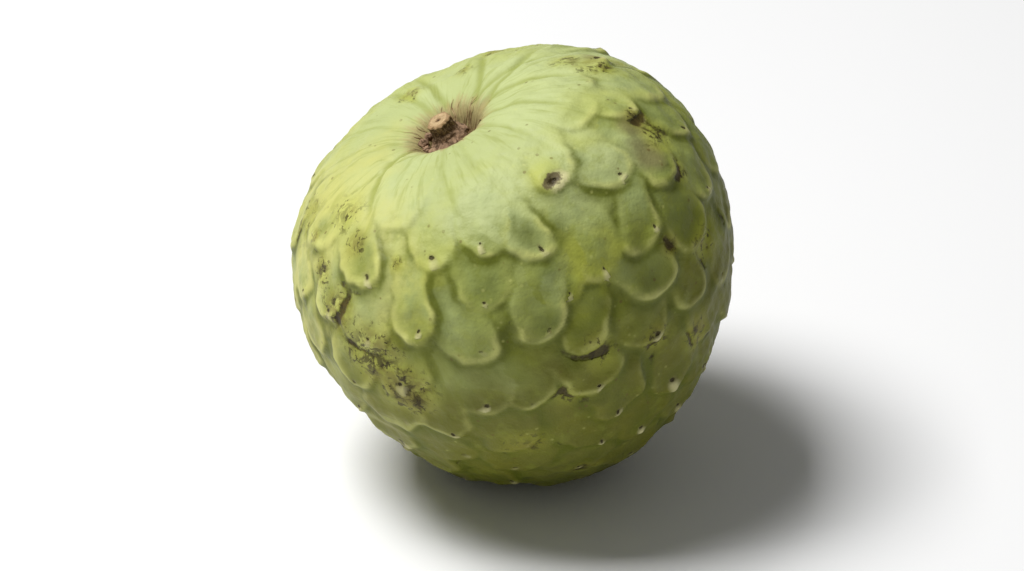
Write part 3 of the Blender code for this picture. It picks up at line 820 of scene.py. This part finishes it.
def creases_and_stains(f, fine, patches):
    """Painted shade in folds and under the edges, olive creases that are partly painted shade, cork where
    russet lies, and bruises as a wash.
    """
    edge, russet = f.mark("crease_olive_and_shade"), f.mark("russet")
    # painted shade: deeper green laid along the bottom of each fold
    f.paint(LEAF_GREEN, f.step(f.frayed(f.mark("fold_shade"), patches, 0.5), 0.2, 1.0), 0.6)
    # painted shade: olive laid in a band just below each scale's edge, where the edge above casts its
    # shadow
    f.paint(OLIVE, f.step(f.frayed(f.mark("painted_shade"), patches, 0.7), 0.1, 1.1), 0.6)
    # partly painted shade: olive along the crease just below each edge, where it lies in the edge's
    # shadow; partly the skin's own olive
    f.paint(OLIVE, f.step(f.frayed(edge, fine, 0.4), 0.1, 0.75), f.step(patches, 0.3, 0.6), 0.8)
    f.paint(BRUISE_BROWN, f.step(f.frayed(f.mark("bruise"), patches, 0.8), 0.35, 0.9), 0.8)
    f.paint(YELLOW_GREEN, f.step(russet, 0.05, 0.6), 0.4)
    corky = f.sum("ADD", f.noise(6.5 * MM, 3, 0.6), f.all_of(russet, 0.5))
    line = f.all_of(f.step(f.frayed(edge, fine, 0.6), 0.4, 0.75), f.step(corky, 0.61, 0.76))
    f.paint(DARK_CORK, line, 0.9)
    f.paint(CORK, f.step(russet, 0.1, 0.9), f.step(f.frayed(patches, fine, 0.6), 0.38, 0.6), 0.6)
    blotch, fleck = f.noise(4.2 * MM, 4, 0.7, warp=0.6), f.noise(2.1 * MM, 4, 0.7, warp=0.5)
    f.paint(DARK_CORK, f.step(blotch, 0.50, 0.58), f.step(russet, 0.3, 0.8), 0.75)
    f.paint(DARK_CORK, f.step(fleck, 0.55, 0.62), f.step(russet, 0.08, 0.55), 0.85)
    return line


def freckles(f):
    """Small brown and pale spots, each where a scattered point is near, in clusters by a noise."""
    f.paint(CORK, f.step(f.cells(3.4 * MM), 0.15, 0.09), f.step(f.noise(7 * MM, 2), 0.48, 0.62), 0.6)
    f.paint(LIP_GREEN, f.step(f.cells(2.6 * MM), 0.22, 0.06), f.step(f.noise(9 * MM, 2), 0.5, 0.64), 0.3)


def dots_and_nubs(f, fine):
    """A dark dot by the distance to its centre, and a nub a little further to the tip, painted cream as a
    highlight.
    """
    shows, strength = f.step(f.mark("dotted"), 0.35, 0.6), f.step(f.mark("nub"), 0.1, 0.4)
    place = f.mark("dot", "Vector")
    to_nub = f.frayed(f.length(f.scaled(place, (1, 1, 1), (0, -NUB_STEP, 0))), fine, 1.6)
    nub = f.all_of(f.step(to_nub, 3.4, 0.6), shows, f.mark("nub"))
    # painted highlight: cream on each scale's nub, where the raised tip catches the light
    f.paint(NUB_CREAM, nub, 0.8)
    away = f.frayed(f.length(place), fine, 2.2)
    f.paint(BRUISE_BROWN, f.step(away, 2.6, 1.0), shows, strength, 0.4)
    dot = f.all_of(f.step(away, 1.2, 0.5), shows, strength)
    f.paint(DARK_CORK, dot, 0.9)
    return nub, dot


def scar_and_pit(f, fine):
    """Rings of colour by the distance to the scar's cup, and streaks by the angle round the pit."""
    place, polar = f.mark("scar", "Vector"), f.mark("polar")
    hood = f.frayed(f.length(f.scaled(place, (1, 1, 1), HOOD_PLACE)), fine, 0.9)
    f.paint(YELLOW_GREEN, f.step(hood, 2.3, 0.9), 0.4)
    cup = f.frayed(f.length(f.scaled(place, (1 / CUP_STRETCH, CUP_STRETCH, 1))), fine, 1.0)
    corner = f.length(f.scaled(place, (1, 1, 1), CORNER_PLACE))
    f.paint(NUB_CREAM, f.step(cup, 1.5, 1.0), f.step(corner, 1.5, 0.7), 0.9)
    f.paint(SCAR_BROWN, f.step(cup, 0.85, 0.6), 0.9)
    f.paint(DARK_CORK, f.step(cup, 0.65, 0.3), f.step(fine, 0.4, 0.55))
    fibres = f.noise(0.09, 4, 0.6, vector=f.scaled(f.mark("streak", "Vector"), (1, 1, 0.35)))
    ragged = f.frayed(polar, fibres, 0.2)
    f.paint(PIT_TAN, f.step(ragged, *TAN_BAND), 0.8)
    f.paint(PIT_BROWN, f.step(ragged, *BROWN_BAND))
    dry = f.step(f.frayed(polar, f.noise(4 * MM), 0.2), *DRY_BAND)
    f.paint(PIT_BROWN, f.step(fibres, 0.56, 0.64), dry, 0.7)
    return fibres


def skin_finish():
    """All the layers in turn, and bumps from the pores, the patches, the dots and the cork."""
    f = Finish("green skin", LEAF_GREEN)
    fine, patches = f.noise(1.6 * MM, 4, 0.65), f.noise(8 * MM, 4, 0.6)
    broad_tints(f, fine, patches)
    line = creases_and_stains(f, fine, patches)
    freckles(f)
    nub, dot = dots_and_nubs(f, fine)
    fibres = scar_and_pit(f, fine)
    f.bump(f.noise(0.7 * MM, 3, 0.6), 0.08 * MM)
    f.bump(patches, 0.7 * MM)
    f.bump(f.sum("SUBTRACT", f.all_of(nub, 0.5), dot), 0.4 * MM)
    f.bump(f.all_of(line, -1), 0.3 * MM)
    f.bump(f.all_of(fibres, f.step(f.mark("polar"), *TAN_BAND)), 1.5 * MM)
    return f.finish(f.sum("MULTIPLY_ADD", patches, 0.2, 0.42), 0.2)


add_piece(skin_mesh, "skin", skin_finish(), "fruit")

# %% [markdown]
# ## The stem
#
# The fruit was cut from its branch, which leaves a stub as thin as a straw: a barrel of dark bark,
# a pale flat cut end with a ring and a pith, and a corky collar where it joins the fruit. The barrel
# is another turned outline, finer than the solid's at the cut end. Its points keep their radius and
# height, so that the material can tell the cut end from the bark.

# %% Build the stem
STEM_OUTLINE = np.array([
    (0.0, 7.5), (0.4, 7.42), (0.8, 7.55), (1.8, 7.5), (2.3, 7.6), (2.6, 7.5), (2.8, 7.1),
    (2.7, 6.0), (2.8, 4.7), (3.5, 3.6), (4.4, 2.6), (4.5, 1.6), (3.3, 0.8), (2.7, -0.4),
    (2.6, -5.0), (0.0, -5.0),
]) * MM
STEM_FOOT = 34.4 * MM
STEM_LEAN = (radians(-6.0), radians(4.0))
STEM_SIDES, STEM_RINGS = 96, 130
BARK_FROM, BARK_EDGE = (0.5 * MM, 1.5 * MM), (2.2 * MM, 2.7 * MM)
BARK_RIDGE = 0.16 * MM
RIDGE_COUNT, RIDGE_TWIST = 5, 180
FINE_RIDGES, FINE_SHARE = 13, 0.6
KNOB_LIFT, KNOB_LENGTH = 0.35 * MM, 3.2 * MM
SMALL_LUMPS = (0.10 * MM, 1.3 * MM)
COLLAR_HEIGHT = (3.3 * MM, 4.4 * MM)
CUT_FROM = (7.0 * MM, 7.3 * MM)
PIT_MIDDLE = np.array(PIT_SHIFT) * STEM_FOOT + np.array((0, 0, STEM_FOOT))


def stand_stem(points):
    """Points of the stem, upright on its foot, leaned in the pit and then laid with the fruit."""
    x, y, z = points.T
    over, back = STEM_LEAN
    y, z = y * cos(back) - z * sin(back), y * sin(back) + z * cos(back)
    x, z = x * cos(over) + z * sin(over), z * cos(over) - x * sin(over)
    return lie(np.column_stack([x, y, z]) + PIT_MIDDLE)


def stem_shape():
    """The turned outline, with bark ridges as cosines round it and knobs as waves on its collar."""
    share = np.arange(1, STEM_RINGS + 1) / (STEM_RINGS + 1)
    where = along(STEM_OUTLINE)
    radius = np.repeat(np.interp(share, where, STEM_OUTLINE[:, 0]), STEM_SIDES)
    height = np.repeat(np.interp(share, where, STEM_OUTLINE[:, 1]), STEM_SIDES)
    azimuth = np.tile(2 * pi * np.arange(STEM_SIDES) / STEM_SIDES, STEM_RINGS)
    body = np.column_stack([radius * np.cos(azimuth), radius * np.sin(azimuth), height])
    bark = ease(*BARK_FROM, height) * ease(*BARK_EDGE, radius)
    collar = bark * (1 - ease(*COLLAR_HEIGHT, height))
    knobs = waves(body, KNOB_LIFT, KNOB_LENGTH, SEED + 1)[:, 0]
    small = waves(body, *SMALL_LUMPS, SEED + 7, 9)[:, 0]
    ridge = (np.cos(RIDGE_COUNT * azimuth + RIDGE_TWIST * height)
             + FINE_SHARE * np.cos(FINE_RIDGES * azimuth))
    swell = 1 + (collar * knobs + bark * (BARK_RIDGE * ridge + small)) / np.maximum(radius, MM)
    body = body * np.column_stack([swell, swell, np.ones_like(swell)])
    ends = STEM_OUTLINE[[0, -1]][:, [0, 0, 1]] * (0, 0, 1)
    return np.vstack([ends[:1], body, ends[1:]])


stem_upright = stem_shape()
stem_mesh = closed_mesh("stem_stub", stand_stem(stem_upright)[None], STEM_RINGS, STEM_SIDES)
stem_turn = np.arctan2(stem_upright[:, 1], stem_upright[:, 0])
store(stem_mesh, "cut", ease(*CUT_FROM, stem_upright[:, 2]))
store(stem_mesh, "ring", np.hypot(stem_upright[:, 0], stem_upright[:, 1]) / MM)
store(stem_mesh, "rise", stem_upright[:, 2] / MM)
store(stem_mesh, "grain", np.column_stack([np.cos(stem_turn), np.sin(stem_turn),
                                           stem_upright[:, 2] / MM]))
print("stem is", (np.ptp(stem_upright[:, 2]) / MM).round(1), "mm from its foot to its cut end")

# %% [markdown]
# ## The stem's finish
#
# The cut end is pale dry wood with a darker ring under the bark and a soft brown pith in its middle.
# Below it the bark is nearly black-brown, with paler cork standing on its ridges, and the collar is
# a warmer pinkish brown. Long noise along the grain gives fine cracks in both. The bands here are in
# millimetres: of height for the collar, and of distance from the stem's middle on the cut end.

# %% Make the stem's finish
CUT_WOOD = (0.640, 0.460, 0.250)
DRY_WOOD = (0.500, 0.340, 0.170)
CUT_RING = (0.330, 0.200, 0.095)
BARK = (0.100, 0.060, 0.030)
BARK_CORK = (0.300, 0.205, 0.110)
COLLAR = (0.400, 0.255, 0.160)
COLLAR_BAND = (5.4, 3.4)
RIM_BAND, PITH_BAND, HOLE_BAND = (1.95, 2.35), (0.85, 0.5), (0.4, 0.2)


def stem_finish():
    """Bark over the sides, cork on its ridges, and rings by radius on the cut end."""
    f = Finish("stem bark", BARK)
    grain = f.noise(0.35, 4, 0.65, vector=f.scaled(f.mark("grain", "Vector"), (1, 1, 0.12)))
    cork = f.noise(1.1 * MM, 4, 0.65, warp=0.8)
    f.paint(BARK_CORK, f.step(cork, 0.45, 0.62))
    f.paint(COLLAR, f.step(f.mark("rise"), *COLLAR_BAND), f.step(cork, 0.35, 0.6))
    f.paint(BARK, f.step(grain, 0.52, 0.62), 0.7)
    ring = f.mark("ring")
    wood = f.blend(f.step(f.noise(0.6 * MM, 3, 0.6), 0.4, 0.7), CUT_WOOD, DRY_WOOD)
    wood = f.blend(f.all_of(f.step(ring, *RIM_BAND), 0.7), wood, CUT_RING)
    wood = f.blend(f.step(f.frayed(ring, cork, 0.5), *PITH_BAND), wood, CUT_RING)
    wood = f.blend(f.step(ring, *HOLE_BAND), wood, BARK)
    f.paint(wood, f.step(f.mark("cut"), 0.3, 0.7))
    f.bump(cork, 0.6 * MM)
    f.bump(grain, 0.5 * MM)
    return f.finish(0.82, 0.25)


add_piece(stem_mesh, "bark", stem_finish(), "stem")

# %% [markdown]
# ## Corky knobs and dry strands in the pit
#
# Round the foot of the stem the skin has broken into corky knobs, and dry brown strands lie up the
# pit's wall. Both are many small copies of one closed shape, so they are worked out as one array
# with a row for each copy. A knob is a ball pressed out of round by waves. A strand is a tapered
# tube carried along a path that runs up the wall, just clear of the skin.

# %% Build the knobs and the strands
KNOB_COUNT, KNOB_SIDES, KNOB_RINGS = 24, 14, 9
KNOB_RING = (4.3 * MM, 6.9 * MM)
KNOB_RADIUS = (0.6 * MM, 1.25 * MM)
KNOB_SPREAD, KNOB_AIM = radians(80), radians(222)
KNOB_STAND, KNOB_BUMPS = 0.5, (0.3, 1.6 * MM)
STRAND_COUNT, STRAND_SIDES, STRAND_RINGS = 28, 6, 12
STRAND_SPREAD, STRAND_AIM = radians(65), radians(80)
STRAND_FROM = (5.0 * MM, 7.0 * MM)
STRAND_REACH = (1.2 * MM, 4.2 * MM)
STRAND_RADIUS = (0.05 * MM, 0.12 * MM)
STRAND_SWAY, STRAND_WAVE = 0.06, 4
STRAND_CLEAR, STRAND_TAPER = 0.6, 0.6


def pit_wall(radius, azimuth):
    """Points on the skin at a distance and an angle round the middle of the pit, and its normals."""
    flat = np.stack([radius * np.cos(azimuth), radius * np.sin(azimuth), STEM_FOOT + 0 * radius], -1)
    towards = unit(flat.reshape(-1, 3) + np.array(PIT_SHIFT) * STEM_FOOT)
    return smooth_body(towards).reshape(flat.shape), outward(towards).reshape(flat.shape)


def knob_shapes():
    """Balls on the pit's floor, each scaled by a bumpy wave and set half into the wall."""
    rng = np.random.default_rng(SEED + 12)
    azimuth = KNOB_AIM + rng.uniform(-KNOB_SPREAD, KNOB_SPREAD, KNOB_COUNT)
    radius = rng.uniform(*KNOB_RING, KNOB_COUNT)
    size = rng.uniform(*KNOB_RADIUS, KNOB_COUNT)
    polar = pi * np.arange(1, KNOB_RINGS + 1) / (KNOB_RINGS + 1)
    turn = 2 * pi * np.arange(KNOB_SIDES) / KNOB_SIDES
    ball = np.vstack([[0, 0, 1], direction(polar[:, None], turn[None]).reshape(-1, 3), [0, 0, -1]])
    centre, normal = pit_wall(radius, azimuth)
    knobs = (centre + KNOB_STAND * size[:, None] * normal)[:, None] + ball * size[:, None, None]
    bumps = waves(knobs.reshape(-1, 3), *KNOB_BUMPS, SEED + 13).reshape(knobs.shape)
    return lie(knobs + bumps * size[:, None, None] * ball)


def strand_shapes():
    """Tubes along paths up the pit's wall: the radius falls to a point at both ends."""
    rng = np.random.default_rng(SEED + 14)
    azimuth = STRAND_AIM + rng.normal(0, STRAND_SPREAD, (STRAND_COUNT, 1))
    start = rng.uniform(*STRAND_FROM, (STRAND_COUNT, 1))
    reach = rng.uniform(*STRAND_REACH, (STRAND_COUNT, 1))
    thick = rng.uniform(*STRAND_RADIUS, (STRAND_COUNT, 1))
    step = np.linspace(0, 1, STRAND_RINGS + 2)[None]
    sway = STRAND_SWAY * np.sin(STRAND_WAVE * step + rng.uniform(0, 6, (STRAND_COUNT, 1)))
    wall, normal = pit_wall(start + reach * step, azimuth + sway)
    path = wall + normal * (thick * (STRAND_CLEAR + np.sin(pi * step)))[..., None]
    side = unit(np.cross(np.gradient(path, axis=1), normal))
    turn = 2 * pi * np.arange(STRAND_SIDES) / STRAND_SIDES
    width = (thick * np.sin(pi * step) ** STRAND_TAPER)[..., None, None]
    around = np.cos(turn)[:, None] * side[:, :, None] + np.sin(turn)[:, None] * normal[:, :, None]
    tubes = (path[:, :, None] + width * around)[:, 1:-1].reshape(STRAND_COUNT, -1, 3)
    return lie(np.concatenate([path[:, :1], tubes, path[:, -1:]], axis=1))


# %% [markdown]
# ## Finishes of the knobs and the strands
#
# The knobs are pinkish cork with dark clefts between them. The strands are dry and straw-coloured to
# dark brown, and one noise over the whole pit makes neighbours differ. Each needs only a few nodes.

# %% Make and add the knobs and the strands
STRAW = (0.500, 0.380, 0.190)
STRAND_BROWN = (0.240, 0.150, 0.065)


def knob_finish():
    """Cork with dark clefts where a noise is low."""
    f = Finish("corky knobs", BARK)
    clefts = f.noise(0.9 * MM, 4, 0.7, warp=0.6)
    f.paint(COLLAR, f.step(clefts, 0.38, 0.56))
    f.paint(CUT_WOOD, f.step(clefts, 0.58, 0.75), 0.6)
    f.bump(clefts, 0.6 * MM)
    return f.finish(0.85, 0.2)


def strand_finish():
    """Straw to dark brown by a noise."""
    f = Finish("dry strands", STRAND_BROWN)
    tone = f.noise(1.8 * MM, 2)
    f.paint(STRAW, f.step(tone, 0.42, 0.6))
    f.bump(tone, 0.2 * MM)
    return f.finish(0.8, 0.25)


add_piece(closed_mesh("collar_knobs", knob_shapes(), KNOB_RINGS, KNOB_SIDES), "bark", knob_finish())
add_piece(closed_mesh("pit_strands", strand_shapes(), STRAND_RINGS, STRAND_SIDES), "bark",
          strand_finish())

# %% [markdown]
# ## The table, the lights and the camera
#
# The fruit lies on a plain pale table that runs out of the picture, under one large soft light from
# the upper left and a bright even sky, as in a small studio. The camera looks down by 31 degrees
# along +Y from 1.7 m, through a long lens that lets the fruit fill most of the picture's height.

# %% Table, lights and camera
TABLE_SIZE = 6.0
TABLE_TONES = (0.95, 0.95, 0.95), (0.97, 0.97, 0.97)
CAMERA_ELEVATION = radians(31)
CAMERA_DISTANCE = 1.69
CAMERA_LENS, CAMERA_SENSOR = 262, 36
CAMERA_AIM = (0.0, 0.0, 47.0 * MM)
KEY_PLACE, KEY_SIZE, KEY_POWER = (-0.50, 0.00, 1.13), 0.5, 16.5
SKY_STRENGTH = 0.16


def table_finish():
    """A matt white, with the faintest mottling so that it isn't a dead flat colour."""
    f = Finish("pale table", TABLE_TONES[0])
    f.paint(TABLE_TONES[1], f.noise(400 * MM, 2))
    f.bump(f.noise(10 * MM, 2), 0.02 * MM)
    return f.finish(0.7, 0.2)


def make_table():
    """A square sheet at the height that the fruit rests on."""
    half = TABLE_SIZE / 2
    mesh = bpy.data.meshes.new("table")
    mesh.from_pydata([(-half, -half, 0), (half, -half, 0), (half, half, 0), (-half, half, 0)], [],
                     [(0, 1, 2, 3)])
    mesh.materials.append(table_finish())
    table = bpy.data.objects.new("table", mesh)
    bpy.context.scene.collection.objects.link(table)


def aimed(data, place, aim):
    """An object for a light or a camera, set at a place and looking at a point."""
    made = bpy.data.objects.new(data.name, data)
    bpy.context.scene.collection.objects.link(made)
    made.location = place
    made.rotation_euler = (Vector(aim) - Vector(place)).to_track_quat("-Z", "Y").to_euler()
    return made


def make_lights():
    """One soft square light, and a white sky."""
    key = bpy.data.lights.new("key", "AREA")
    key.size, key.energy = KEY_SIZE, KEY_POWER
    aimed(key, KEY_PLACE, CAMERA_AIM)
    sky = bpy.data.worlds.new("sky")
    sky.use_nodes = True
    background = sky.node_tree.nodes["Background"]
    background.inputs["Color"].default_value = (1, 1, 1, 1)
    background.inputs["Strength"].default_value = SKY_STRENGTH
    bpy.context.scene.world = sky


def make_camera():
    """The camera on a line that rises from the fruit towards -Y."""
    camera = bpy.data.cameras.new("camera")
    camera.lens = CAMERA_LENS
    camera.sensor_width = CAMERA_SENSOR
    back = Vector((0, -cos(CAMERA_ELEVATION), sin(CAMERA_ELEVATION))) * CAMERA_DISTANCE
    bpy.context.scene.camera = aimed(camera, Vector(CAMERA_AIM) + back, CAMERA_AIM)


make_table()
make_lights()
make_camera()
bpy.context.scene.view_settings.view_transform = "Standard"
